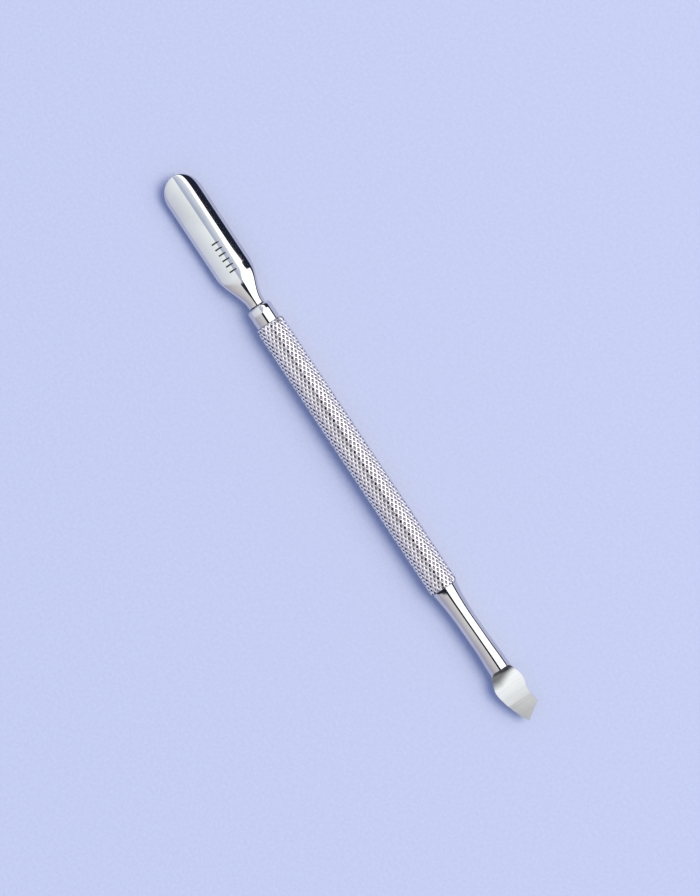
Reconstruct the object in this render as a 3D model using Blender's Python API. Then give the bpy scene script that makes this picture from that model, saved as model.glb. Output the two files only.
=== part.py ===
"""Double-ended cuticle pusher in stainless steel: a knurled hollow grip that holds a gutter-shaped
pusher spoon in a smooth ferrule at one end, and a ground hatchet blade on a tapered shank at the other.

It lies on a table as it is put down, the spoon's hollow side down. +X runs along the tool to the
spoon's tip, +Z is up, the origin is under the middle of the tool on the table, and units are metres."""

import math

import bmesh
import bpy
from mathutils import Vector

MM = 0.001

# Reaches along the tool, from the spoon's tip to the blade's point
SPOON_REACH = 31.0 * MM  # ferrule mouth to spoon tip
FERRULE_REACH = 4.2 * MM  # the smooth collar that shows between grip and spoon
GRIP_LENGTH = 63.2 * MM
SHANK_REACH = 19.8 * MM  # grip to the blade's heel
BLADE_REACH = 11.8 * MM  # heel to the blade's point

# Grip: a tube with a diamond knurl rolled into it
GRIP_RADIUS = 3.05 * MM  # over the knurl's crests
KNURL_DEPTH = 0.35 * MM
KNURL_STARTS = 20  # grooves of each hand around the grip
KNURL_LEAD = 1.51 * MM  # crest to crest along the grip
GRIP_WALL = 0.55 * MM  # between the knurl's pits and the bore

# Joints inside the grip
FIT_GAP = 0.05 * MM  # radial room between a spigot or tang and its hole
SEAT_GAP = 0.05 * MM  # room between two seated shoulders
FERRULE_SPIGOT = 9.0 * MM  # how far the ferrule goes into the grip
SHANK_SPIGOT = 11.0 * MM  # how far the blade's shank goes into the grip
LEAD_IN = 0.4 * MM  # chamfer on the end of each spigot and tang
BOND_GROOVE_WIDTH = 1.2 * MM  # ring groove that holds the bond in each spigot
BOND_GROOVE_DEPTH = 0.15 * MM

# Ferrule
FERRULE_STEP = 0.4 * MM  # from the knurl's crests down to the ferrule
MOUTH_ROUNDING = 0.7 * MM

# Spoon: a domed gutter on a round neck
TANG_RADIUS = 1.1 * MM
TANG_LENGTH = 11.0 * MM  # how far the spoon goes into the ferrule
NECK_RADIUS = 1.85 * MM
NECK_LENGTH = 0.6 * MM
NECK_CHAMFER = 0.2 * MM  # between the neck and its tang, which leaves a crevice at the ferrule's mouth
SHOULDER_LENGTH = 8.6 * MM
SPOON_WIDTH = 8.0 * MM
SPOON_TIP_LENGTH = 4.4 * MM  # the part of the outline that closes in a half ellipse
SPOON_ARCH = 1.85 * MM  # rise of the gutter over its rims
SPOON_WALL = 0.9 * MM
SPOON_EDGE_POWER = 0.6  # how bluntly the wall runs out at the rim
SPOON_DROOP = math.radians(1.0)  # the spoon all but keeps the height of the grip
TIP_ARCH_KEPT = 0.8  # share of the arch that the front edge keeps
RIM_LIFT = 2.3 * MM  # rim over the table where the tip begins

# Blade shank: a trumpet taper that ends in a ground hatchet blade
SHANK_STEP = 0.25 * MM  # from the knurl's crests down to the shank
SHANK_WAIST_RADIUS = 2.12 * MM
SHANK_TAPER = 8.4 * MM  # grip to the thinnest place
SHANK_WAIST_LENGTH = 4.5 * MM
HEEL_RADIUS = 2.33 * MM
HEEL_SIDE = 0.32 * MM  # how far the heel lies to the -Y side
BELLY_AT = 3.8 * MM  # widest place on the +Y side, from the heel
BELLY_HALF_WIDTH = 3.15 * MM
SHOULDER_AT = 3.7 * MM  # widest place on the -Y side
SHOULDER_HALF_WIDTH = 3.45 * MM
WAIST_AT = 6.6 * MM  # hollow place on the -Y side
WAIST_HALF_WIDTH = 2.82 * MM
CORNER_AT = 9.3 * MM  # where the -Y side meets the cutting edge
CORNER_HALF_WIDTH = 3.27 * MM
POINT_SIDE = 0.5 * MM  # how far the point lies to the +Y side
BLADE_TOP = 0.45 * MM  # upper ground face over the tool's axis
BLADE_BOTTOM = 0.65 * MM  # lower ground face under the tool's axis
GRIND_RADIUS = 1.7 * MM  # run-out left by the grinding wheel
BEVEL_REACH = 4.6 * MM  # bevel from the point back
EDGE_TOP = 0.22 * MM  # what is left over the axis at the point
EDGE_BOTTOM = -0.04 * MM  # the lower bevel passes the axis by this much

# Facets
ROUND_SIDES = 48
SPOON_SIDES = 40
STEPS_PER_MM = 1.3
GRIND_STEPS = 8
CUT_MARGIN = 3.0 * MM  # how far a cutter stands out of what it cuts
WELD = 0.0001 * MM

# Places along the tool, worked out from the reaches
LENGTH = SPOON_REACH + FERRULE_REACH + GRIP_LENGTH + SHANK_REACH + BLADE_REACH
TIP_X = LENGTH / 2
MOUTH_X = TIP_X - SPOON_REACH
GRIP_FRONT_X = MOUTH_X - FERRULE_REACH
GRIP_BACK_X = GRIP_FRONT_X - GRIP_LENGTH
HEEL_X = GRIP_BACK_X - SHANK_REACH
POINT_X = HEEL_X - BLADE_REACH
AXIS_Z = GRIP_RADIUS
PIT_RADIUS = GRIP_RADIUS - KNURL_DEPTH
BORE_RADIUS = PIT_RADIUS - GRIP_WALL
SPIGOT_RADIUS = BORE_RADIUS - FIT_GAP
SOCKET_RADIUS = TANG_RADIUS + FIT_GAP
FERRULE_RADIUS = GRIP_RADIUS - FERRULE_STEP
SHANK_ROOT_RADIUS = GRIP_RADIUS - SHANK_STEP


def clear_scene():
    for obj in list(bpy.data.objects):
        bpy.data.objects.remove(obj)


def steel(name, colour, roughness):
    material = bpy.data.materials.new(name)
    material.use_nodes = True
    shader = material.node_tree.nodes["Principled BSDF"]
    shader.inputs["Base Color"].default_value = (*colour, 1.0)
    shader.inputs["Metallic"].default_value = 1.0
    shader.inputs["Roughness"].default_value = roughness
    material.diffuse_color = (*colour, 1.0)
    return material


def add_object(name, bm, material, sharp_degrees=40.0):
    bmesh.ops.recalc_face_normals(bm, faces=bm.faces)
    mesh = bpy.data.meshes.new(name)
    bm.to_mesh(mesh)
    bm.free()
    mesh.materials.append(material)
    mesh.shade_smooth()
    mesh.set_sharp_from_angle(angle=math.radians(sharp_degrees))
    obj = bpy.data.objects.new(name, mesh)
    bpy.context.scene.collection.objects.link(obj)
    return obj


def add_ring(bm, points):
    """A closed loop of edges through the points."""
    verts = [bm.verts.new(point) for point in points]
    return [bm.edges.new((a, b)) for a, b in zip(verts, verts[1:] + verts[:1])]


def neighbours(vert):
    return [edge.other_vert(vert) for edge in vert.link_edges]


def add_skin(bm, rings):
    """A skin drawn from each ring of points to the next. The two end rings are returned, still open."""
    first = add_ring(bm, rings[0])
    verts = [edge.verts[0] for edge in first]
    edges = first
    for ring in rings[1:]:
        grown = bmesh.ops.extrude_edge_only(bm, edges=edges)["geom"]
        fresh = {item for item in grown if isinstance(item, bmesh.types.BMVert)}
        edges = [item for item in grown if isinstance(item, bmesh.types.BMEdge)]
        edges = [edge for edge in edges if set(edge.verts) <= fresh]
        verts = [next(far for far in neighbours(vert) if far in fresh) for vert in verts]
        for vert, point in zip(verts, ring):
            vert.co = point
    return first, edges


def add_body(bm, rings):
    """A skin with a cap on each end."""
    for end in add_skin(bm, rings):
        bmesh.ops.edgeloop_fill(bm, edges=end)


def add_turning(bm, profile, sides=ROUND_SIDES):
    """The solid of a closed (x, radius) profile turned once round the tool's axis."""
    outline = add_ring(bm, [Vector((x, radius, AXIS_Z)) for x, radius in profile])
    verts = list({vert for edge in outline for vert in edge.verts})
    bmesh.ops.spin(
        bm,
        geom=verts + outline,
        cent=(0, 0, AXIS_Z),
        axis=(1, 0, 0),
        angle=math.tau,
        steps=sides,
        use_merge=True,
    )


def circle(x, radius, sides=ROUND_SIDES):
    """Points round the tool's axis at x."""
    turns = [math.tau * k / sides for k in range(sides)]
    return [Vector((x, radius * math.cos(t), AXIS_Z + radius * math.sin(t))) for t in turns]


def spread(start, end, steps_per_mm=STEPS_PER_MM):
    """Even stations from start up to, but not including, end."""
    count = max(2, math.ceil(abs(end - start) / MM * steps_per_mm))
    return [start + (end - start) * k / count for k in range(count)]


def ease(t):
    """0 to 1 with a level start and finish."""
    t = min(1.0, max(0.0, t))
    return t * t * (3.0 - 2.0 * t)


def eased(x, x0, y0, x1, y1):
    return y0 + (y1 - y0) * ease((x - x0) / (x1 - x0))


def spigot_profile(shoulder_x, length):
    """(x, radius) pairs of a spigot that runs from its shoulder to -X, with its bond groove and lead-in."""
    radius = SPIGOT_RADIUS
    end_x = shoulder_x - length
    groove_x = shoulder_x - (length - BOND_GROOVE_WIDTH) / 2
    floor = radius - BOND_GROOVE_DEPTH
    return [
        (shoulder_x, radius),
        (groove_x, radius),
        (groove_x, floor),
        (groove_x - BOND_GROOVE_WIDTH, floor),
        (groove_x - BOND_GROOVE_WIDTH, radius),
        (end_x + LEAD_IN, radius),
        (end_x, radius - LEAD_IN),
    ]


def make_grip_tube(material):
    """Crests and pits alternate round each ring and along the grip, so the long diagonals are ridges that cross round square pits."""
    half_leads = 2 * round(GRIP_LENGTH / KNURL_LEAD)
    sides = 2 * KNURL_STARTS

    def knurl_ring(k):
        x = GRIP_FRONT_X - GRIP_LENGTH * k / half_leads
        at_end = k in (0, half_leads)
        points = circle(x, GRIP_RADIUS, sides)
        pits = circle(x, PIT_RADIUS, sides)
        return [pits[i] if at_end or (i + k) % 2 else points[i] for i in range(sides)]

    bm = bmesh.new()
    outer = [knurl_ring(k) for k in range(half_leads + 1)]
    bore = [circle(x, BORE_RADIUS, sides) for x in (GRIP_BACK_X, GRIP_FRONT_X)]
    add_skin(bm, outer + bore + outer[:1])
    bmesh.ops.remove_doubles(bm, verts=bm.verts, dist=WELD)
    bmesh.ops.triangulate(bm, faces=bm.faces, quad_method="LONG_EDGE")
    return add_object("grip_tube", bm, material, sharp_degrees=20.0)


def make_spoon_ferrule(material):
    """A turned ring: rounded mouth, smooth collar, and a spigot in the grip, with a socket right through."""
    shoulder_x = GRIP_FRONT_X + SEAT_GAP
    spigot = spigot_profile(shoulder_x, FERRULE_SPIGOT + SEAT_GAP)
    quarter = [math.pi / 2 * k / 4 for k in range(5)]
    mouth = [
        (
            MOUTH_X - MOUTH_ROUNDING * (1 - math.cos(t)),
            FERRULE_RADIUS - MOUTH_ROUNDING * (1 - math.sin(t)),
        )
        for t in quarter
    ]
    end_x = spigot[-1][0]
    profile = [(MOUTH_X, SOCKET_RADIUS), *mouth, (shoulder_x, FERRULE_RADIUS)]
    profile += [*spigot, (end_x, SOCKET_RADIUS)]
    bm = bmesh.new()
    add_turning(bm, profile)
    return add_object("spoon_ferrule", bm, material)


def spoon_half_width(s):
    """Half the spoon's width at s from the ferrule's mouth."""
    full = SPOON_WIDTH / 2
    tip_starts = SPOON_REACH - SPOON_TIP_LENGTH
    if s > tip_starts:
        share = min(1.0, (s - tip_starts) / SPOON_TIP_LENGTH)
        return full * math.sqrt(1.0 - share * share)
    return eased(s, NECK_LENGTH, NECK_RADIUS, NECK_LENGTH + SHOULDER_LENGTH, full)


def spoon_ring(s):
    """One cross-section: a round neck that flattens into a gutter whose wall runs out at the rims."""
    width = spoon_half_width(s)
    tip_starts = SPOON_REACH - SPOON_TIP_LENGTH
    closing = width / (SPOON_WIDTH / 2) if s > tip_starts else 1.0
    arch = SPOON_ARCH * closing * closing
    rim_z = RIM_LIFT + math.tan(SPOON_DROOP) * (tip_starts - s) + TIP_ARCH_KEPT * (SPOON_ARCH - arch)
    flattened = ease((s - NECK_LENGTH) / SHOULDER_LENGTH)
    points = []
    for k in range(SPOON_SIDES):
        turn = math.tau * k / SPOON_SIDES
        across, up = math.cos(turn), math.sin(turn)
        wall = SPOON_WALL / 2 * math.copysign(abs(closing * up) ** SPOON_EDGE_POWER, up)
        gutter_z = rim_z + arch * (1.0 - across * across) + wall
        round_z = AXIS_Z + NECK_RADIUS * up
        z = round_z + (gutter_z - round_z) * flattened
        points.append(Vector((MOUTH_X + s, width * across, z)))
    return points


def make_spoon_pusher(material):
    """Tang, neck, shoulder and gutter, skinned ring by ring up to the rounded tip."""
    tang = TANG_RADIUS
    tang_end = MOUTH_X - TANG_LENGTH
    tip_starts = SPOON_REACH - SPOON_TIP_LENGTH
    shoulder_ends = NECK_LENGTH + SHOULDER_LENGTH
    rings = [
        circle(x, radius, SPOON_SIDES)
        for x, radius in (
            (tang_end, tang - LEAD_IN),
            (tang_end + LEAD_IN, tang),
            (MOUTH_X + SEAT_GAP, tang),
            (MOUTH_X + SEAT_GAP + NECK_CHAMFER, NECK_RADIUS),
        )
    ]
    stations = spread(NECK_LENGTH, shoulder_ends)
    stations += spread(shoulder_ends, tip_starts, STEPS_PER_MM / 2)
    tip_turns = [math.radians(a) for a in (0, 12, 24, 36, 47, 57, 66, 74, 81, 87)]
    stations += [tip_starts + SPOON_TIP_LENGTH * math.sin(t) for t in tip_turns]
    rings += [spoon_ring(s) for s in stations]
    bm = bmesh.new()
    add_body(bm, rings)
    return add_object("spoon_pusher", bm, material, sharp_degrees=50.0)


def shank_radius(s):
    """Radius of the round shank at s from the grip: a trumpet taper, a straight waist and a slight flare."""
    waist_ends = SHANK_TAPER + SHANK_WAIST_LENGTH
    if s < SHANK_TAPER:
        left = 1.0 - s / SHANK_TAPER
        return SHANK_WAIST_RADIUS + (SHANK_ROOT_RADIUS - SHANK_WAIST_RADIUS) * left * left
    return eased(s, waist_ends, SHANK_WAIST_RADIUS, SHANK_REACH, HEEL_RADIUS)


def shank_ring(s):
    """A cross-section of the shank, which leans a little to the -Y side on its way from grip to heel."""
    shift = eased(s, 0.0, 0.0, SHANK_REACH, HEEL_SIDE)
    return [point - Vector((0, shift, 0)) for point in circle(GRIP_BACK_X - s, shank_radius(s))]


def belly_side(s):
    """The +Y outline of the blade at s from the heel."""
    start = HEEL_RADIUS - HEEL_SIDE
    if s < BELLY_AT:
        return eased(s, 0.0, start, BELLY_AT, BELLY_HALF_WIDTH)
    share = (s - BELLY_AT) / (BLADE_REACH - BELLY_AT)
    return BELLY_HALF_WIDTH + (POINT_SIDE - BELLY_HALF_WIDTH) * share**1.6


def hollow_side(s):
    """The -Y outline of the blade at s from the heel."""
    start = HEEL_RADIUS + HEEL_SIDE
    if s < SHOULDER_AT:
        return eased(s, 0.0, start, SHOULDER_AT, SHOULDER_HALF_WIDTH)
    if s < WAIST_AT:
        return eased(s, SHOULDER_AT, SHOULDER_HALF_WIDTH, WAIST_AT, WAIST_HALF_WIDTH)
    twice_as_far = 2 * CORNER_AT - WAIST_AT  # so the outline is steepest at the corner
    return eased(s, WAIST_AT, WAIST_HALF_WIDTH, twice_as_far, 2 * CORNER_HALF_WIDTH - WAIST_HALF_WIDTH)


def forging_ring(s):
    """A cross-section of the blade before grinding, s from the heel: an ellipse as high as the shank."""
    centre = (belly_side(s) - hollow_side(s)) / 2
    width = (belly_side(s) + hollow_side(s)) / 2
    height = HEEL_RADIUS
    turns = [math.tau * k / ROUND_SIDES for k in range(ROUND_SIDES)]
    return [
        Vector((HEEL_X - s, centre + width * math.cos(t), AXIS_Z + height * math.sin(t))) for t in turns
    ]


def add_cutter(name, outline, depth_axis, depth):
    """A prism through a closed outline, kept as a wire guide for a Boolean."""
    bm = bmesh.new()
    verts = [bm.verts.new(point) for point in outline]
    face = bm.faces.new(verts)
    grown = bmesh.ops.extrude_face_region(bm, geom=[face])
    moved = [item for item in grown["geom"] if isinstance(item, bmesh.types.BMVert)]
    bmesh.ops.translate(bm, verts=moved, vec=depth_axis * depth)
    bmesh.ops.recalc_face_normals(bm, faces=bm.faces)
    mesh = bpy.data.meshes.new(name)
    bm.to_mesh(mesh)
    bm.free()
    cutter = bpy.data.objects.new(name, mesh)
    bpy.context.scene.collection.objects.link(cutter)
    cutter.display_type = "WIRE"
    cutter.hide_render = True
    return cutter


def add_cut(obj, cutter):
    cut = obj.modifiers.new(cutter.name, "BOOLEAN")
    cut.operation = "DIFFERENCE"
    cut.solver = "EXACT"
    cut.object = cutter


def grinding_cutter(name, side, face_height, edge_height):
    """What the wheel takes off one side: a round run-out at the heel, a flat face, a bevel to the edge."""
    half = SHOULDER_HALF_WIDTH + CUT_MARGIN
    centre_s = GRIND_RADIUS
    centre_h = face_height + GRIND_RADIUS
    turns = [math.pi / 2 * k / GRIND_STEPS for k in range(GRIND_STEPS + 1)]
    run_out = [
        (centre_s - GRIND_RADIUS * math.cos(t), centre_h - GRIND_RADIUS * math.sin(t)) for t in turns
    ]
    bevel_starts = BLADE_REACH - BEVEL_REACH
    past_s = BLADE_REACH + CUT_MARGIN
    slope = (edge_height - face_height) / BEVEL_REACH
    past_h = edge_height + slope * CUT_MARGIN
    over = HEEL_RADIUS + CUT_MARGIN
    profile = [(0.0, over), *run_out, (bevel_starts, face_height), (past_s, past_h), (past_s, over)]
    outline = [Vector((HEEL_X - s, -half, AXIS_Z + side * h)) for s, h in profile]
    return add_cutter(name, outline, Vector((0, 1, 0)), 2 * half)


def edge_cutter():
    """The slanting cut that leaves the cutting edge between the corner and the point."""
    corner = Vector((HEEL_X - CORNER_AT, -CORNER_HALF_WIDTH, 0))
    point = Vector((POINT_X, POINT_SIDE, 0))
    along = (point - corner).normalized()
    out = Vector((along.y, -along.x, 0))
    out = out if out.x < 0 else -out
    start, end = corner - along * CUT_MARGIN, point + along * CUT_MARGIN
    far = out * (BLADE_REACH + CUT_MARGIN)
    outline = [start, end, end + far, start + far]
    half = HEEL_RADIUS + CUT_MARGIN
    bottom = Vector((0, 0, AXIS_Z - half))
    return add_cutter("edge_cut", [point + bottom for point in outline], Vector((0, 0, 1)), 2 * half)


def make_blade_shank(material):
    """Spigot, trumpet shank and paddle as one forging, then ground above, below and along the edge."""
    shoulder_x = GRIP_BACK_X - SEAT_GAP
    spigot = [
        (2 * shoulder_x - x, radius)
        for x, radius in spigot_profile(shoulder_x, SHANK_SPIGOT + SEAT_GAP)
    ]
    rings = [circle(x, radius) for x, radius in reversed(spigot)]
    rings += [shank_ring(s) for s in [SEAT_GAP, *spread(0.0, SHANK_REACH)[1:]]]
    past = BLADE_REACH + CUT_MARGIN / 4
    rings += [forging_ring(s) for s in [*spread(0.0, past, 2 * STEPS_PER_MM), past]]
    bm = bmesh.new()
    add_body(bm, rings)
    blade = add_object("blade_shank", bm, material)
    add_cut(blade, grinding_cutter("upper_grind", 1, BLADE_TOP, EDGE_TOP))
    add_cut(blade, grinding_cutter("lower_grind", -1, BLADE_BOTTOM, EDGE_BOTTOM))
    add_cut(blade, edge_cutter())
    return blade


def main():
    clear_scene()
    polished = steel("polished_steel", (0.80, 0.80, 0.81), 0.08)
    knurled = steel("knurled_steel", (0.76, 0.75, 0.77), 0.22)
    make_grip_tube(knurled)
    make_spoon_ferrule(polished)
    make_spoon_pusher(polished)
    make_blade_shank(polished)


main()
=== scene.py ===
import math

import bmesh
import bpy
from mathutils import Matrix, Vector


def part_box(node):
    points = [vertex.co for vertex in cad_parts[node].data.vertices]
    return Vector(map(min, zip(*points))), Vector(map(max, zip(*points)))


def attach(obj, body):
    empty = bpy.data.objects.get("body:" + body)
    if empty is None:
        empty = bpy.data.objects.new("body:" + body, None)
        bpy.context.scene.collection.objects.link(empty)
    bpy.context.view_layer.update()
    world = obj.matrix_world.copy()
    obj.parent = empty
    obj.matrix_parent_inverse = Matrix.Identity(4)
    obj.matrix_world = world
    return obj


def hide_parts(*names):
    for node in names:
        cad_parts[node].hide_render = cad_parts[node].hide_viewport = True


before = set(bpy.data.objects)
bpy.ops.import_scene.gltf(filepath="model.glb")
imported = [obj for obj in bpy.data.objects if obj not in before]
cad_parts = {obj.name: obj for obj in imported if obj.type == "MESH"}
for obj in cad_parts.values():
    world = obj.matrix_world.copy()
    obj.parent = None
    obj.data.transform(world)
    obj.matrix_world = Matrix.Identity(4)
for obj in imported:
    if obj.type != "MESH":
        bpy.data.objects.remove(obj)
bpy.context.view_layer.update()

mm = 0.001
body = "root"
weld = 0.0002 * mm

# places along the tool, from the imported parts
gripLow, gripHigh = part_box("grip_tube")
axisZ = (gripLow.z + gripHigh.z) / 2
gripRadius = (gripHigh.z - gripLow.z) / 2
gripFrontX, gripBackX = gripHigh.x, gripLow.x
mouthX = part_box("spoon_ferrule")[1].x
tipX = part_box("spoon_pusher")[1].x
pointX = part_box("blade_shank")[0].x


def ease(t):
    t = min(1.0, max(0.0, t))
    return t * t * (3.0 - 2.0 * t)


def eased(s, s0, a, s1, b):
    return a + (b - a) * ease((s - s0) / (s1 - s0))


def spread(start, end, count):
    return [start + (end - start) * k / count for k in range(count)]


def newGroup(name, inputs, outputs):
    group = bpy.data.node_groups.new(name, "ShaderNodeTree")
    for label, kind, value in inputs:
        socket = group.interface.new_socket(label, in_out="INPUT", socket_type=kind)
        if value is not None:
            socket.default_value = value
    for label, kind in outputs:
        group.interface.new_socket(label, in_out="OUTPUT", socket_type=kind)
    start, end = group.nodes.new("NodeGroupInput"), group.nodes.new("NodeGroupOutput")
    return group, start.outputs, end.inputs


# links maps an input's name or number to a socket or a value
def addNode(tree, kind, links=None, **settings):
    node = tree.nodes.new(kind)
    for key, value in settings.items():
        setattr(node, key, value)
    for key, value in (links or {}).items():
        if isinstance(value, bpy.types.NodeSocket):
            tree.links.new(value, node.inputs[key])
        else:
            node.inputs[key].default_value = value
    return node


def useGroup(tree, group, links):
    return addNode(tree, "ShaderNodeGroup", links, node_tree=group).outputs


def mathNode(tree, operation, a, b=0.0, c=None):
    links = {0: a, 1: b} if c is None else {0: a, 1: b, 2: c}
    return addNode(tree, "ShaderNodeMath", links, operation=operation).outputs[0]


def product(tree, *values):
    total = values[0]
    for value in values[1:]:
        total = mathNode(tree, "MULTIPLY", total, value)
    return total


def distanceFrom(tree, value, middle):
    return mathNode(tree, "ABSOLUTE", mathNode(tree, "SUBTRACT", value, middle))


def rangeNode(tree, value, fromLow, fromHigh, toLow=0.0, toHigh=1.0, smooth=True):
    links = {
        "Value": value,
        "From Min": fromLow,
        "From Max": fromHigh,
        "To Min": toLow,
        "To Max": toHigh,
    }
    kind = "SMOOTHSTEP" if smooth else "LINEAR"
    return addNode(tree, "ShaderNodeMapRange", links, interpolation_type=kind, clamp=True).outputs[0]


def mixColour(tree, factor, a, b):
    links = {0: factor}
    for index, value in ((6, a), (7, b)):
        links[index] = value if isinstance(value, bpy.types.NodeSocket) else (*value, 1.0)
    return addNode(tree, "ShaderNodeMix", links, data_type="RGBA").outputs[2]


def noiseNode(tree, vector, scale, detail=3.0, roughness=0.5):
    links = {"Vector": vector, "Scale": scale, "Detail": detail, "Roughness": roughness}
    return addNode(tree, "ShaderNodeTexNoise", links).outputs[0]


def stretched(tree, vector, sizes, turned=(0.0, 0.0, 0.0)):
    way = addNode(tree, "ShaderNodeMapping", {"Vector": vector, "Rotation": turned}).outputs[0]
    return addNode(tree, "ShaderNodeMapping", {"Vector": way, "Scale": sizes}).outputs[0]


def splitAxes(tree, vector):
    return addNode(tree, "ShaderNodeSeparateXYZ", {0: vector}).outputs


scratches = {
    "cuts": ((0.35, 160.0, 5200.0), (-0.9, 210.0, 6400.0), (1.45, 260.0, 5600.0)),  # angle, scales
    "edges": (0.63, 0.70),
    "patchScale": 190.0,
    "patchEdges": (0.42, 0.62),
}


# fine handling scratches that cross at a few angles
def buildHairlines():
    group, given, out = newGroup(
        "hairlines",
        [("Vector", "NodeSocketVector", None), ("Amount", "NodeSocketFloat", 0.5)],
        [("Mask", "NodeSocketFloat")],
    )
    total = None
    for angle, along, across in scratches["cuts"]:
        way = stretched(group, given["Vector"], (along, across, along), (0.0, 0.0, angle))
        thin = rangeNode(group, noiseNode(group, way, 1.0, 2.0, 0.4), *scratches["edges"])
        total = thin if total is None else mathNode(group, "MAXIMUM", total, thin)
    patches = noiseNode(group, given["Vector"], scratches["patchScale"], 2.0)
    shown = rangeNode(group, patches, *scratches["patchEdges"])
    group.links.new(product(group, total, shown, given["Amount"]), out["Mask"])
    return group


smudgeEdges = (0.40, 0.66)


# soft patches where the polish is dulled by handling
def buildSmudges():
    group, given, out = newGroup(
        "smudges",
        [("Vector", "NodeSocketVector", None), ("Scale", "NodeSocketFloat", 120.0)],
        [("Mask", "NodeSocketFloat")],
    )
    large = noiseNode(group, given["Vector"], given["Scale"], 4.0, 0.55)
    group.links.new(rangeNode(group, large, *smudgeEdges), out["Mask"])
    return group


wheelMarks = {
    "fine": (14000.0, 260.0, 260.0),
    "broad": (2600.0, 90.0, 90.0),
    "edges": (0.3, 0.7),
}


# parallel lines left by a wheel that ran across the tool
def buildGrindLines():
    group, given, out = newGroup(
        "grindLines",
        [("Vector", "NodeSocketVector", None), ("Density", "NodeSocketFloat", 1.0)],
        [("Fine", "NodeSocketFloat"), ("Broad", "NodeSocketFloat")],
    )
    for label, sizes, detail, roughness in (
        ("Fine", wheelMarks["fine"], 3.0, 0.6),
        ("Broad", wheelMarks["broad"], 2.0, 0.5),
    ):
        way = stretched(group, given["Vector"], sizes)
        lines = noiseNode(group, way, given["Density"], detail, roughness)
        group.links.new(rangeNode(group, lines, *wheelMarks["edges"], smooth=False), out[label])
    return group


hairlines = buildHairlines()
smudges = buildSmudges()
grindLines = buildGrindLines()


# a metal, with its tree, shader and object coordinates
def newFinish(name):
    material = bpy.data.materials.new(name)
    material.use_nodes = True
    tree = material.node_tree
    shader = tree.nodes["Principled BSDF"]
    shader.inputs["Metallic"].default_value = 1.0
    place = tree.nodes.new("ShaderNodeTexCoord").outputs["Object"]
    return material, tree, shader, place


def feed(tree, shader, colour, roughness):
    tree.links.new(colour, shader.inputs["Base Color"])
    tree.links.new(roughness, shader.inputs["Roughness"])


def addBump(tree, shader, height, distance, strength=1.0):
    links = {"Height": height, "Distance": distance, "Strength": strength}
    tree.links.new(addNode(tree, "ShaderNodeBump", links).outputs[0], shader.inputs["Normal"])


polish = {
    "clean": (0.70, 0.68, 0.685),
    "dulled": (0.64, 0.62, 0.63),
    "smudgeScale": 150.0,
    "scratchAmount": 0.6,
    "roughness": 0.025,
    "smudgeRoughness": 0.02,
    "scratchRoughness": 0.03,
    "scratchDepth": 0.0001 * mm,
}


def polishedLayers(tree, place):
    marks = useGroup(tree, hairlines, {"Vector": place, "Amount": polish["scratchAmount"]})[0]
    dulled = useGroup(tree, smudges, {"Vector": place, "Scale": polish["smudgeScale"]})[0]
    colour = mixColour(tree, dulled, polish["clean"], polish["dulled"])
    rough = mathNode(tree, "MULTIPLY_ADD", dulled, polish["smudgeRoughness"], polish["roughness"])
    scratched = product(tree, marks, polish["scratchRoughness"])
    return colour, mathNode(tree, "ADD", rough, scratched), marks


def makePolished():
    material, tree, shader, place = newFinish("mirrorPolish")
    colour, rough, marks = polishedLayers(tree, place)
    feed(tree, shader, colour, rough)
    addBump(tree, shader, mathNode(tree, "SUBTRACT", 1.0, marks), polish["scratchDepth"])
    return material


ticks = {
    "nearEnd": 8.6 * mm,  # from the ferrule's mouth
    "pitch": 1.3 * mm,
    "count": 6,
    "width": 0.30 * mm,
    "middle": 0.2 * mm,
    "halfHeight": 0.80 * mm,
    "softSides": (1.25, 0.75),  # shares of the width where a stroke fades
    "softEnds": (1.04, 0.96),
    "upward": 0.3,  # how far a face has to look up to be marked
    "colour": (0.045, 0.05, 0.045),
    "roughness": 0.5,
    "depth": 0.02 * mm,
}


# the same polish with a short row of etched ticks on the spoon's back
def makeMarkedPolish():
    material, tree, shader, place = newFinish("mirrorPolishWithTicks")
    colour, rough, marks = polishedLayers(tree, place)
    x, y = splitAxes(tree, place)[:2]
    along = mathNode(tree, "SUBTRACT", x, mouthX + ticks["nearEnd"])
    steps = mathNode(tree, "DIVIDE", along, ticks["pitch"])
    fromStroke = distanceFrom(tree, steps, mathNode(tree, "ROUND", steps))
    half = ticks["width"] / 2 / ticks["pitch"]
    stroke = rangeNode(tree, fromStroke, *(half * share for share in ticks["softSides"]))
    fromCentre = distanceFrom(tree, steps, (ticks["count"] - 1) / 2)
    inRow = mathNode(tree, "LESS_THAN", fromCentre, ticks["count"] / 2)
    fromMiddle = distanceFrom(tree, y, ticks["middle"])
    high = rangeNode(tree, fromMiddle, *(ticks["halfHeight"] * share for share in ticks["softEnds"]))
    facing = splitAxes(tree, addNode(tree, "ShaderNodeNewGeometry").outputs["Normal"])[2]
    onTop = mathNode(tree, "GREATER_THAN", facing, ticks["upward"])
    etched = product(tree, stroke, inRow, high, onTop)
    mixed = addNode(tree, "ShaderNodeMix", {0: etched, 2: rough, 3: ticks["roughness"]}).outputs[0]
    feed(tree, shader, mixColour(tree, etched, colour, ticks["colour"]), mixed)
    depth = product(tree, etched, -ticks["depth"] / polish["scratchDepth"])
    addBump(tree, shader, mathNode(tree, "SUBTRACT", depth, marks), polish["scratchDepth"])
    return material


knurlFinish = {
    "crest": (0.82, 0.79, 0.82),
    # the pits' colour is painted shade, darker where light hardly reaches down into them
    "pit": (0.25, 0.22, 0.26),
    "crestRoughness": 0.12,
    "pitRoughness": 0.10,
    "pitAt": 0.52,  # share of the knurl's depth under the crests
    "crestAt": 0.22,
    "smudgeScale": 420.0,
    "smudged": 0.86,
    "grainScale": 9000.0,
    "grainDepth": 0.004 * mm,
    "grainStrength": 0.5,
}
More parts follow.
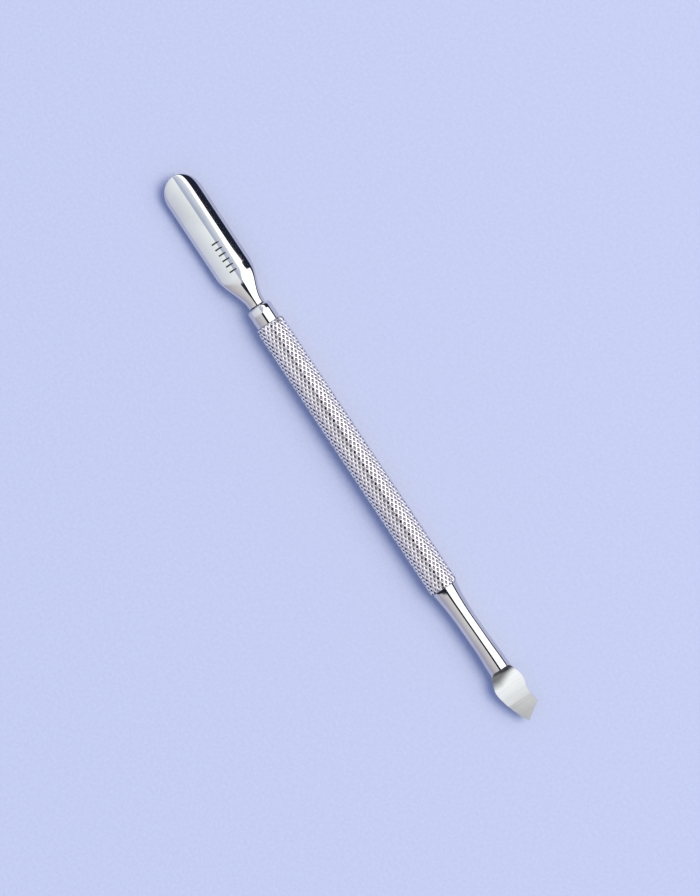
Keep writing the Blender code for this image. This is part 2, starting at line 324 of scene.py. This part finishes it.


# bright crests over pits darkened by painted shade, told apart by the distance from the tool's axis;
# smudges dull the crests
def makeKnurled(depth):
    material, tree, shader, place = newFinish("knurledSteel")
    y, z = splitAxes(tree, place)[1:]
    up = mathNode(tree, "SUBTRACT", z, axisZ)
    square = mathNode(tree, "ADD", product(tree, up, up), product(tree, y, y))
    bottom, top = (gripRadius - knurlFinish[key] * depth for key in ("pitAt", "crestAt"))
    height = rangeNode(tree, mathNode(tree, "SQRT", square), bottom, top)
    dulled = useGroup(tree, smudges, {"Vector": place, "Scale": knurlFinish["smudgeScale"]})[0]
    # painted shade by depth, times real smudging on the crests
    wearAndPaintedShade = product(tree, height, rangeNode(tree, dulled, 0.0, 1.0, 1.0, knurlFinish["smudged"]))
    rough = rangeNode(tree, wearAndPaintedShade, 0.0, 1.0, knurlFinish["pitRoughness"], knurlFinish["crestRoughness"])
    feed(tree, shader, mixColour(tree, wearAndPaintedShade, knurlFinish["pit"], knurlFinish["crest"]), rough)
    grain = noiseNode(tree, place, knurlFinish["grainScale"], 2.0)
    addBump(tree, shader, grain, knurlFinish["grainDepth"], knurlFinish["grainStrength"])
    return material


ground = {
    "bright": (1.0, 1.0, 1.0),
    "dark": (0.89, 0.90, 0.91),
    "fineShare": 0.45,
    "broadShare": 0.55,
    "roughness": (0.54, 0.40),  # of a dark line and a bright one
    "anisotropy": 0.75,
    "lineDepth": 0.002 * mm,
    "lineStrength": 0.6,
    # painted shade standing for darker reflections: each reaches back from the blade's point, and the
    # tone at the near end of each
    "fade": (4.6 * mm, 9.5 * mm),
    "fadePaintedShade": 0.75,
    "bevel": (4.5 * mm, 4.6 * mm),
    "bevelPaintedShade": 0.86,
    "tip": (1.5 * mm, 4.6 * mm),
    "tipPaintedShade": 0.84,
    "runOut": (1.0 * mm, 3.2 * mm),  # from the heel, where a dark crescent is painted shade standing for a darker reflection
    "runOutPaintedShade": 0.25,
    "runOutSide": (-2.5 * mm, 1.2 * mm),  # it reaches further on the belly side
    "runOutShift": (1.1 * mm, -0.54 * mm),  # by this much at those two places
}


# steel ground across the tool, so light spreads along it; painted shade darkens it towards the point, at
# the bevel's start and in a crescent by the heel
def makeGround():
    material, tree, shader, place = newFinish("groundSteel")
    fine, broad = useGroup(tree, grindLines, {"Vector": place, "Density": 1.0})
    broadPart = product(tree, broad, ground["broadShare"])
    shade = mathNode(tree, "MULTIPLY_ADD", fine, ground["fineShare"], broadPart)
    x, y = splitAxes(tree, place)[:2]
    fromPoint = mathNode(tree, "SUBTRACT", x, pointX)
    # painted shade: the base colour darkens towards the point, at the bevel and by the heel, in place of
    # darker reflections
    paintedShades = [
        rangeNode(tree, fromPoint, *ground["fade"], ground["fadePaintedShade"], 1.0, smooth=False),
        rangeNode(tree, fromPoint, *ground["tip"], ground["tipPaintedShade"], 1.0, smooth=False),
        rangeNode(tree, fromPoint, *ground["bevel"], ground["bevelPaintedShade"], 1.0),
    ]
    shift = rangeNode(tree, y, *ground["runOutSide"], *ground["runOutShift"], smooth=False)
    fromHeel = mathNode(tree, "ADD", mathNode(tree, "SUBTRACT", heelX, x), shift)
    paintedShades.append(rangeNode(tree, fromHeel, *ground["runOut"], ground["runOutPaintedShade"], 1.0))
    steel = mixColour(tree, shade, ground["dark"], ground["bright"])
    paintedShadeSteel = mixColour(tree, product(tree, *paintedShades), (0.0, 0.0, 0.0), steel)
    feed(tree, shader, paintedShadeSteel, rangeNode(tree, shade, 0.0, 1.0, *ground["roughness"], smooth=False))
    shader.inputs["Anisotropic"].default_value = ground["anisotropy"]
    tangent = addNode(tree, "ShaderNodeTangent", direction_type="RADIAL", axis="X")
    tree.links.new(tangent.outputs[0], shader.inputs["Tangent"])
    addBump(tree, shader, broad, ground["lineDepth"], ground["lineStrength"])
    return material


def everyPart(bm):
    return bm.verts[:] + bm.edges[:] + bm.faces[:]


def vertsIn(made):
    return [item for item in made if isinstance(item, bmesh.types.BMVert)]


def openEdges(bm):
    return sum(1 for edge in bm.edges if not edge.is_manifold)


def meshFrom(name, bm, materials):
    mesh = bpy.data.meshes.new(name)
    bm.to_mesh(mesh)
    bm.free()
    for material in materials:
        mesh.materials.append(material)
    return mesh


def addToScene(name, data):
    thing = bpy.data.objects.new(name, data)
    bpy.context.scene.collection.objects.link(thing)
    return thing


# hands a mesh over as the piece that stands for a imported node
def finishPiece(name, bm, materials, node, sharpDegrees):
    mesh = meshFrom(name, bm, materials)
    mesh.shade_smooth()
    mesh.set_sharp_from_angle(angle=math.radians(sharpDegrees))
    piece = addToScene(name, mesh)
    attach(piece, body)
    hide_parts(node)
    print(name, "has", sum(len(face.vertices) - 2 for face in mesh.polygons), "triangles")


grip = {
    "starts": 20,
    "leads": 42,
    "depth": 0.35 * mm,
    "bore": 2.15 * mm,
    "insets": ((0.06, 0.0), (0.05, -0.05), (0.06, -0.15), (0.16, -0.40)),  # shares of cell and depth
    "endFade": 0.35 * mm,
    "endDrop": 0.22,  # share of the depth lost at the very end
    "trimWeld": 1e-5,  # in cells
    "sharpDegrees": 35.0,
}


# a sheet of square cells sunk between ridges, still flat, a cell to each unit
def knurlSheet(starts, halfLeads):
    bm = bmesh.new()
    rows = halfLeads + starts + 2
    bmesh.ops.create_grid(bm, x_segments=starts, y_segments=rows, size=0.5)
    bmesh.ops.scale(bm, vec=(starts, rows, 1.0), verts=bm.verts)
    bmesh.ops.translate(bm, vec=(starts / 2, rows / 2 - starts, 0.0), verts=bm.verts)
    for face in bm.faces:
        if face.normal.z < 0:
            face.normal_flip()
    cells = bm.faces[:]
    for thickness, rise in grip["insets"]:
        bmesh.ops.inset_individual(
            bm,
            faces=cells,
            thickness=thickness,
            depth=rise * grip["depth"] / mm,
            use_even_offset=True,
        )
    slant = Vector((1.0, 1.0, 0.0)).normalized()
    for end, outer in ((0.0, False), (halfLeads, True)):
        bmesh.ops.bisect_plane(
            bm,
            geom=everyPart(bm),
            dist=grip["trimWeld"],
            plane_co=Vector((end / 2, end / 2, 0.0)),
            plane_no=slant,
            clear_outer=outer,
            clear_inner=not outer,
        )
    return bm


# the sheet is rolled up into a tube and closed with a bore
def makeGrip():
    starts, halfLeads = grip["starts"], 2 * grip["leads"]
    bm = knurlSheet(starts, halfLeads)
    length = gripFrontX - gripBackX
    for vert in bm.verts:
        p, q, rise = vert.co
        along = length * (p + q) / halfLeads
        around = math.tau * (p - q) / (2 * starts)
        toEnd = min(along, length - along)
        lost = grip["endDrop"] * grip["depth"] * (1.0 - ease(toEnd / grip["endFade"]))
        radius = min(gripRadius + rise * mm, gripRadius - lost)
        vert.co = (gripFrontX - along, radius * math.cos(around), axisZ + radius * math.sin(around))
    bmesh.ops.remove_doubles(bm, verts=bm.verts, dist=weld)
    rims = [edge for edge in bm.edges if edge.is_boundary]
    fronts = [edge for edge in rims if edge.verts[0].co.x > 0]
    backs = [edge for edge in rims if edge.verts[0].co.x < 0]
    loops = []
    for edges in (fronts, backs):
        made = bmesh.ops.extrude_edge_only(bm, edges=edges)["geom"]
        for vert in vertsIn(made):
            around = math.atan2(vert.co.z - axisZ, vert.co.y)
            vert.co.y = grip["bore"] * math.cos(around)
            vert.co.z = axisZ + grip["bore"] * math.sin(around)
        made = [item for item in made if isinstance(item, bmesh.types.BMEdge)]
        loops.append([edge for edge in made if edge.is_boundary])
    made = bmesh.ops.extrude_edge_only(bm, edges=loops[0])["geom"]
    bmesh.ops.translate(bm, vec=(-length, 0.0, 0.0), verts=vertsIn(made))
    bmesh.ops.remove_doubles(bm, verts=bm.verts, dist=weld * 4)
    bmesh.ops.recalc_face_normals(bm, faces=bm.faces)
    print("grip open edges", openEdges(bm))
    finish = [makeKnurled(grip["depth"])]
    finishPiece("knurledGrip", bm, finish, "grip_tube", grip["sharpDegrees"])


makeGrip()

turning = {"sides": 160, "arcSteps": 8, "smallArcSteps": 4, "chamfer": 0.4 * mm, "fit": 0.05 * mm}


# points of a rounding of a turned profile about (x, radius)
def arc(x, radius, size, fromDegrees, toDegrees, steps):
    angles = [math.radians(fromDegrees + (toDegrees - fromDegrees) * k / steps) for k in range(steps + 1)]
    return [(x + size * math.cos(t), radius + size * math.sin(t)) for t in angles]


# a closed (x, radius) profile spun round the tool's axis
def turn(profile, sides):
    bm = bmesh.new()
    verts = [bm.verts.new((x, radius, axisZ)) for x, radius in profile]
    edges = [bm.edges.new(pair) for pair in zip(verts, verts[1:] + verts[:1])]
    bmesh.ops.spin(
        bm,
        geom=verts + edges,
        cent=(0, 0, axisZ),
        axis=(1, 0, 0),
        angle=math.tau,
        steps=sides,
        use_merge=True,
    )
    bmesh.ops.remove_doubles(bm, verts=bm.verts, dist=weld)
    bmesh.ops.recalc_face_normals(bm, faces=bm.faces)
    return bm


ferrule = {
    "radius": 2.65 * mm,
    "socket": 1.15 * mm,
    "spigot": 2.1 * mm,
    "spigotLength": 9.0 * mm,
    "mouthRounding": 0.7 * mm,
    "backRounding": 0.12 * mm,
    "socketFlare": 0.12 * mm,
    "flareFrom": -60,  # degrees
    "sharpDegrees": 40.0,
}


def makeFerrule():
    r, socket, spigot = ferrule["radius"], ferrule["socket"], ferrule["spigot"]
    front, rear, flare = ferrule["mouthRounding"], ferrule["backRounding"], ferrule["socketFlare"]
    steps, few, chamfer = turning["arcSteps"], turning["smallArcSteps"], turning["chamfer"]
    shoulderX = gripFrontX + turning["fit"]
    endX = gripFrontX - ferrule["spigotLength"]
    profile = [(mouthX - flare, socket)]
    profile += arc(mouthX - flare, socket + flare, flare, ferrule["flareFrom"], 0, few)[:-1]
    profile += arc(mouthX - front, r - front, front, 0, 90, steps)
    profile += arc(shoulderX + rear, r - rear, rear, 90, 180, few)
    profile += [(shoulderX, spigot), (endX + chamfer, spigot)]
    profile += [(endX, spigot - chamfer), (endX, socket)]
    bm = turn(profile, turning["sides"])
    sharp = ferrule["sharpDegrees"]
    finishPiece("ferruleRing", bm, [polished], "spoon_ferrule", sharp)


polished = makePolished()
makeFerrule()


# a closed skin: each row of a sphere, from pole to pole, goes where place(row, around) says
def shapeSphere(columns, rows, place):
    bm = bmesh.new()
    bmesh.ops.create_uvsphere(bm, u_segments=columns, v_segments=rows, radius=1.0)
    for vert in bm.verts:
        row = round(math.acos(max(-1.0, min(1.0, vert.co.z))) / math.pi * rows)
        vert.co = place(row, math.atan2(vert.co.y, vert.co.x))
    bmesh.ops.recalc_face_normals(bm, faces=bm.faces)
    return bm


spoon = {
    "columns": 128,
    "tipRings": 30,
    "gutterRings": 30,
    "shoulderRings": 50,
    "tang": 1.1 * mm,
    "tangLength": 11.0 * mm,
    "neck": 1.85 * mm,
    "neckLength": 0.6 * mm,
    "neckChamfer": 0.2 * mm,
    "shoulderLength": 8.6 * mm,
    "halfWidth": 4.0 * mm,
    "tipLength": 4.4 * mm,
    "arch": 1.85 * mm,
    "archRadius": 5.2 * mm,
    "wall": 0.9 * mm,
    "edgePower": 0.6,
    "droop": math.radians(1.0),
    "archKept": 0.8,
    "rimLift": 2.3 * mm,
    "sharpDegrees": 50.0,
}


# tang, neck, shoulder and gutter, which thins out to a rounded lip all round
def makeSpoon():
    reach = tipX - mouthX
    tipStart = reach - spoon["tipLength"]
    neckEnd = spoon["neckLength"]
    shoulderEnd = neckEnd + spoon["shoulderLength"]
    tangEnd = -spoon["tangLength"]
    fit, chamfer, tang = turning["fit"], turning["chamfer"], spoon["tang"]
    rings = spoon["tipRings"]
    tipAngles = [math.pi / 2 * (1.0 - k / rings) for k in range(rings + 1)]
    gutter = [(tipStart + spoon["tipLength"] * math.sin(t), math.cos(t)) for t in tipAngles]
    gutter += [(s, 1.0) for s in spread(tipStart, shoulderEnd, spoon["gutterRings"])[1:]]
    gutter += [(s, 1.0) for s in spread(shoulderEnd, neckEnd, spoon["shoulderRings"])]
    gutter += [(neckEnd, 1.0)]
    stations = [("gutter", *ring) for ring in gutter]
    stations += [("round", *ring) for ring in (
        ((neckEnd + spoon["neckChamfer"]) / 2, spoon["neck"]),
        (fit + spoon["neckChamfer"], spoon["neck"]),
        (fit, tang),
        (tangEnd + chamfer, tang),
        (tangEnd, tang - chamfer),
        (tangEnd, 0.0),
    )]

    def place(row, around):
        kind, s, size = stations[row]
        across, up = math.cos(around), math.sin(around)
        if kind == "round":
            return Vector((mouthX + s, size * across, axisZ + size * up))
        full = spoon["halfWidth"]
        if s > tipStart:
            width = full * size
        else:
            width = eased(s, neckEnd, spoon["neck"], shoulderEnd, full)
        y = width * across
        lost = (1.0 - spoon["archKept"]) * spoon["arch"] * (1.0 - size * size)
        crown = spoon["rimLift"] + math.tan(spoon["droop"]) * (tipStart - s) + spoon["arch"] - lost
        drop = spoon["archRadius"] - math.sqrt(spoon["archRadius"] ** 2 - y * y)
        wall = spoon["wall"] / 2 * math.copysign(abs(size * up) ** spoon["edgePower"], up)
        gutterZ = crown - drop + wall
        roundZ = axisZ + spoon["neck"] * up
        z = roundZ + (gutterZ - roundZ) * ease((s - neckEnd) / spoon["shoulderLength"])
        return Vector((mouthX + s, y, z))

    bm = shapeSphere(spoon["columns"], len(stations) - 1, place)
    finish = [makeMarkedPolish()]
    finishPiece("curvedPusher", bm, finish, "spoon_pusher", spoon["sharpDegrees"])


makeSpoon()

shank = {
    "columns": 128,
    "rings": 60,
    "spigot": 2.1 * mm,
    "spigotLength": 11.0 * mm,
    "root": 2.8 * mm,
    "rootChamfer": 0.1 * mm,
    "rootDrop": 0.01 * mm,
    "rootEnd": 0.25 * mm,
    "waist": 2.12 * mm,
    "taper": 8.4 * mm,
    "waistLength": 4.5 * mm,
    "reach": 19.8 * mm,
    "heel": 2.33 * mm,
    "heelSide": 0.32 * mm,
}
blade = {
    "rings": 64,
    "pastPoint": 0.75 * mm,
    "strips": 40,  # cuts across the flats, which keep their shading even
    "stripWeld": 1e-7,
    "bellyAt": 3.8 * mm,
    "belly": 3.15 * mm,
    "bellyPower": 1.6,
    "shoulderAt": 3.7 * mm,
    "shoulder": 3.45 * mm,
    "waistAt": 6.6 * mm,
    "waist": 2.82 * mm,
    "cornerAt": 9.3 * mm,
    "corner": 3.27 * mm,
    "pointSide": 0.5 * mm,
    "top": 0.45 * mm,
    "bottom": 0.65 * mm,
    "grindRadius": 1.7 * mm,
    "grindSteps": 24,
    "bevelReach": 4.6 * mm,
    "edgeTop": 0.22 * mm,
    "edgeBottom": -0.04 * mm,
    "margin": 3.0 * mm,
    "sharpDegrees": 30.0,
}
heelX = gripBackX - shank["reach"]
bladeReach = heelX - pointX


def shankRadius(s):
    waistEnd = shank["taper"] + shank["waistLength"]
    if s < shank["taper"]:
        left = 1.0 - s / shank["taper"]
        return shank["waist"] + (shank["root"] - shank["waist"]) * left * left
    return eased(s, waistEnd, shank["waist"], shank["reach"], shank["heel"])


def bellySide(s):
    start, at, belly = shank["heel"] - shank["heelSide"], blade["bellyAt"], blade["belly"]
    if s < at:
        return eased(s, 0.0, start, at, belly)
    share = (s - at) / (bladeReach - at)
    return belly + (blade["pointSide"] - belly) * share ** blade["bellyPower"]


def hollowSide(s):
    start = shank["heel"] + shank["heelSide"]
    if s < blade["shoulderAt"]:
        return eased(s, 0.0, start, blade["shoulderAt"], blade["shoulder"])
    if s < blade["waistAt"]:
        return eased(s, blade["shoulderAt"], blade["shoulder"], blade["waistAt"], blade["waist"])
    # twice as far, so that the outline is steepest at the corner
    farAt, far = 2 * blade["cornerAt"] - blade["waistAt"], 2 * blade["corner"] - blade["waist"]
    return eased(s, blade["waistAt"], blade["waist"], farAt, far)


# a cutter: a closed outline drawn out along way
def prism(name, outline, way, depth, materials):
    bm = bmesh.new()
    face = bm.faces.new([bm.verts.new(point) for point in outline])
    made = bmesh.ops.extrude_face_region(bm, geom=[face])["geom"]
    bmesh.ops.translate(bm, vec=way * depth, verts=vertsIn(made))
    bmesh.ops.recalc_face_normals(bm, faces=bm.faces)
    mesh = meshFrom(name, bm, materials)
    for polygon in mesh.polygons:
        polygon.material_index = len(materials) - 1
        polygon.use_smooth = True
    return addToScene(name, mesh)


# what the wheel takes off: a round run-out by the heel, a flat face and a bevel
def grindCutter(name, side, faceHeight, edgeHeight, materials):
    half = blade["shoulder"] + blade["margin"]
    r, steps = blade["grindRadius"], blade["grindSteps"]
    angles = [math.pi / 2 * k / steps for k in range(steps + 1)]
    runOut = [(r - r * math.cos(t), faceHeight + r - r * math.sin(t)) for t in angles]
    slope = (edgeHeight - faceHeight) / blade["bevelReach"]
    past = bladeReach + blade["margin"]
    over = shank["heel"] + blade["margin"]
    profile = [(0.0, over), *runOut, (bladeReach - blade["bevelReach"], faceHeight)]
    profile += [(past, edgeHeight + slope * blade["margin"]), (past, over)]
    outline = [Vector((heelX - s, -half, axisZ + side * h)) for s, h in profile]
    return prism(name, outline, Vector((0, 1, 0)), 2 * half, materials)


def edgeCutter(materials):
    corner = Vector((heelX - blade["cornerAt"], -blade["corner"], 0))
    point = Vector((pointX, blade["pointSide"], 0))
    along = (point - corner).normalized()
    out = Vector((along.y, -along.x, 0))
    out = out if out.x < 0 else -out
    start, end = corner - along * blade["margin"], point + along * blade["margin"]
    far = out * (bladeReach + blade["margin"])
    half = shank["heel"] + blade["margin"]
    low = Vector((0, 0, axisZ - half))
    outline = [spot + low for spot in (start, end, end + far, start + far)]
    return prism("edgeCut", outline, Vector((0, 0, 1)), 2 * half, materials)


# the mesh of a thing with the cutters taken from it; the thing and the cutters are removed
def cutBy(thing, cutters):
    for cutter in cutters:
        cut = thing.modifiers.new(cutter.name, "BOOLEAN")
        cut.operation = "DIFFERENCE"
        cut.solver = "EXACT"
        cut.object = cutter
    graph = bpy.context.evaluated_depsgraph_get()
    done = bpy.data.meshes.new_from_object(thing.evaluated_get(graph))
    for used in (thing, *cutters):
        bpy.data.objects.remove(used)
    return done


# spigot, trumpet shank and paddle in one, then ground above, below and along the edge
def makeBlade():
    fit, chamfer, root = turning["fit"], turning["chamfer"], shank["root"]
    end = -shank["spigotLength"]
    past = bladeReach + blade["pastPoint"]
    stations = [("round", *ring) for ring in (
        (end, 0.0),
        (end, shank["spigot"] - chamfer),
        (end + chamfer, shank["spigot"]),
        (fit, shank["spigot"]),
        (fit, root - shank["rootChamfer"]),
        (fit + shank["rootChamfer"], root - shank["rootDrop"]),
    )]
    along = spread(fit + shank["rootEnd"], shank["reach"], shank["rings"])
    stations += [("round", s, shankRadius(s)) for s in along]
    stations += [("paddle", s, 1.0) for s in [*spread(0.0, past, blade["rings"]), past]]
    stations += [("paddle", past, 0.0)]

    def place(row, around):
        kind, s, size = stations[row]
        across, up = math.cos(around), math.sin(around)
        if kind == "round":
            lean = eased(s, 0.0, 0.0, shank["reach"], shank["heelSide"])
            return Vector((gripBackX - s, size * across - lean, axisZ + size * up))
        centre = (bellySide(s) - hollowSide(s)) / 2
        width = (bellySide(s) + hollowSide(s)) / 2
        return Vector((heelX - s, centre + size * width * across, axisZ + size * shank["heel"] * up))

    materials = [polished, makeGround()]
    mesh = meshFrom("paddle", shapeSphere(shank["columns"], len(stations) - 1, place), materials)
    mesh.shade_smooth()
    cut = cutBy(addToScene("paddle", mesh), [
        grindCutter("upperGrind", 1, blade["top"], blade["edgeTop"], materials),
        grindCutter("lowerGrind", -1, blade["bottom"], blade["edgeBottom"], materials),
        edgeCutter(materials),
    ])
    bm = bmesh.new()
    bm.from_mesh(cut)
    bmesh.ops.remove_doubles(bm, verts=bm.verts, dist=weld)
    for x in spread(heelX, pointX, blade["strips"])[1:]:
        bmesh.ops.bisect_plane(
            bm,
            geom=everyPart(bm),
            dist=blade["stripWeld"],
            plane_co=(x, 0, 0),
            plane_no=(1, 0, 0),
        )
    print("blade open edges", openEdges(bm))
    sharp = blade["sharpDegrees"]
    finishPiece("bladeAndShank", bm, materials, "blade_shank", sharp)


makeBlade()
print("pieces made")

studio = {
    "dark": (0.018, 0.024, 0.044),  # what the steel mirrors between the panels
    "behind": (0.571, 0.624, 0.896),  # what lies past the paper
    "fill": (0.29, 0.37, 0.62),  # cool light from all round, on the paper only
    "distance": 4.0,
}
sheet = {
    "size": 12.0,
    "colour": (0.60, 0.63, 0.80),
    "roughness": 0.9,
    "grainScale": 1500.0,
    "grainTone": 0.10,
    "grainDepth": 0.03 * mm,
    "grainStrength": 0.35,
}


def makePaper():
    material, tree, shader, place = newFinish("palePaper")
    shader.inputs["Metallic"].default_value = 0.0
    shader.inputs["Roughness"].default_value = sheet["roughness"]
    shader.inputs["Specular IOR Level"].default_value = 0.0
    grain = noiseNode(tree, place, sheet["grainScale"], 4.0, 0.65)
    base, tone = Vector(sheet["colour"]), sheet["grainTone"]
    colour = mixColour(tree, grain, base * (1.0 - tone), base * (1.0 + tone))
    tree.links.new(colour, shader.inputs["Base Color"])
    addBump(tree, shader, grain, sheet["grainDepth"], sheet["grainStrength"])
    bm = bmesh.new()
    bmesh.ops.create_grid(bm, x_segments=8, y_segments=8, size=sheet["size"] / 2)
    paper = addToScene("paper", meshFrom("paper", bm, [material]))


# what the steel mirrors, by degrees from overhead: across towards +Y, along towards +X
# each edge is (first along, its across, second along, its across)
mirrored = {
    "keyLow": (4.3, -75.0, 5.7, -52.0),
    "keyHigh": (3.2, -7.0, 7.0, -36.0),
    "cardLow": (2.9, 11.0, 3.7, 0.0),
    "keyBack": -60.0,
    "cardBack": -18.5,
    "cardHigh": 100.0,
    "soft": 0.8,
    "key": (2.0, 2.02, 2.01),
    "cool": ((1.00, 1.08, 1.15), (0.55, 0.64, 0.82)),
    "coolFade": (-36.0, -6.0),
    "backCard": ((0.95, 0.97, 0.92), (0.45, 0.43, 0.54)),
    "frontCard": ((1.13, 1.22, 1.22), (0.72, 0.79, 0.93)),
    "farFade": (0.0, 95.0),
    "frontFade": (1.5, 5.0),
}


def above(tree, value, edge):
    return rangeNode(tree, mathNode(tree, "SUBTRACT", value, edge), -mirrored["soft"], mirrored["soft"])


def between(tree, value, low, high):
    return product(tree, above(tree, value, low), above(tree, high, value))


# a white box on one side, a grey card on the other and a dark gap between them
def paintStudio(tree):
    x, y, z = splitAxes(tree, tree.nodes.new("ShaderNodeTexCoord").outputs["Generated"])
    degrees = math.degrees(1.0)
    across = product(tree, mathNode(tree, "ARCTAN2", y, z), degrees)
    along = product(tree, mathNode(tree, "ARCSINE", x), degrees)
    edges = {}
    for name in ("keyLow", "keyHigh", "cardLow"):
        first, acrossFirst, second, acrossSecond = mirrored[name]
        edges[name] = rangeNode(tree, along, first, second, acrossFirst, acrossSecond)
    inCard = between(tree, across, edges["cardLow"], mirrored["cardHigh"])
    inCard = product(tree, inCard, above(tree, along, mirrored["cardBack"]))
    inCool = between(tree, across, edges["keyHigh"], edges["cardLow"])
    coolFrom, coolTo = mirrored["cardLow"][0::2]
    inCool = product(tree, inCool, rangeNode(tree, along, coolFrom, coolTo))
    inKey = between(tree, across, edges["keyLow"], edges["keyHigh"])
    inKey = product(tree, inKey, above(tree, along, mirrored["keyBack"]))
    toFar = rangeNode(tree, across, *mirrored["farFade"], smooth=False)
    toFront = rangeNode(tree, along, *mirrored["frontFade"])
    near, far = (
        mixColour(tree, toFront, back, front)
        for back, front in zip(mirrored["backCard"], mirrored["frontCard"])
    )
    toCool = rangeNode(tree, across, *mirrored["coolFade"], smooth=False)
    cool = mixColour(tree, toCool, *mirrored["cool"])
    colour = mixColour(tree, inCard, studio["dark"], mixColour(tree, toFar, near, far))
    colour = mixColour(tree, inCool, colour, cool)
    return mixColour(tree, inKey, colour, mirrored["key"])


def makeWorld():
    world = bpy.data.worlds.new("studio")
    bpy.context.scene.world = world
    world.use_nodes = True
    world.cycles.sampling_method = "NONE"
    tree = world.node_tree
    tree.nodes.clear()

    def background(colour):
        return addNode(tree, "ShaderNodeBackground", {"Color": colour}).outputs[0]

    def choose(ray, otherwise, chosen):
        links = {0: rays[ray], 1: otherwise, 2: chosen}
        return addNode(tree, "ShaderNodeMixShader", links).outputs[0]

    seen = background(paintStudio(tree))
    behind, fill = (background((*studio[key], 1.0)) for key in ("behind", "fill"))
    rays = addNode(tree, "ShaderNodeLightPath").outputs
    mixed = choose("Is Camera Ray", choose("Is Diffuse Ray", seen, fill), behind)
    addNode(tree, "ShaderNodeOutputWorld", {"Surface": mixed})


def standAt(thing, spot, right, up, back):
    turned = Matrix((right, up, back)).transposed().to_4x4()
    thing.matrix_world = Matrix.Translation(spot) @ turned


# each lamp is for the paper alone: two spans of degrees and the colour it gives a white sheet
lamps = {
    "lampCore": ((-40, -12), (-24, 4), (0.395, 0.378, 0.308)),
    "lampWide": ((-60, -6), (-40, 20), (0.375, 0.358, 0.292)),
}


def addLamp(name, across, along, lit):
    a, b = (math.radians(sum(span) / 2) for span in (across, along))
    way = Vector((math.sin(b), math.sin(a) * math.cos(b), math.cos(a) * math.cos(b)))
    d = studio["distance"]
    light = bpy.data.lights.new(name, "AREA")
    light.shape = "ELLIPSE"
    light.size = 2 * d * math.tan(math.radians(along[1] - along[0]) / 2)
    light.size_y = 2 * d * math.tan(math.radians(across[1] - across[0]) / 2)
    light.energy = max(lit) * math.pi * math.pi * d * d / way.z
    light.color = [part / max(lit) for part in lit]
    lamp = addToScene(name, light)
    side = Vector((1.0, 0.0, 0.0))
    side = (side - way * side.dot(way)).normalized()
    standAt(lamp, way * d, side, way.cross(side), way)
    lamp.visible_camera = False
    lamp.visible_glossy = False


makePaper()
makeWorld()
for name, spans in lamps.items():
    addLamp(name, *spans)

cameraView = {
    "lens": 135.0,
    "height": 179.2 * mm,  # of the view, at the tool
    "aim": Vector((0.211 * mm, 0.292 * mm, axisZ)),
    "up": Vector((0.834, -0.552, 0.0)),
    "clip": (0.01, 50.0),
}
camera = bpy.data.cameras.new("camera")
camera.lens = cameraView["lens"]
camera.clip_start, camera.clip_end = cameraView["clip"]
eye = addToScene("camera", camera)
back = Vector((0.0, 0.0, 1.0))
up = cameraView["up"].normalized()
distance = cameraView["height"] * camera.lens / camera.sensor_width
standAt(eye, cameraView["aim"] + back * distance, up.cross(back), up, back)
bpy.context.scene.camera = eye
bpy.context.scene.view_settings.view_transform = "Standard"
print("studio ready")
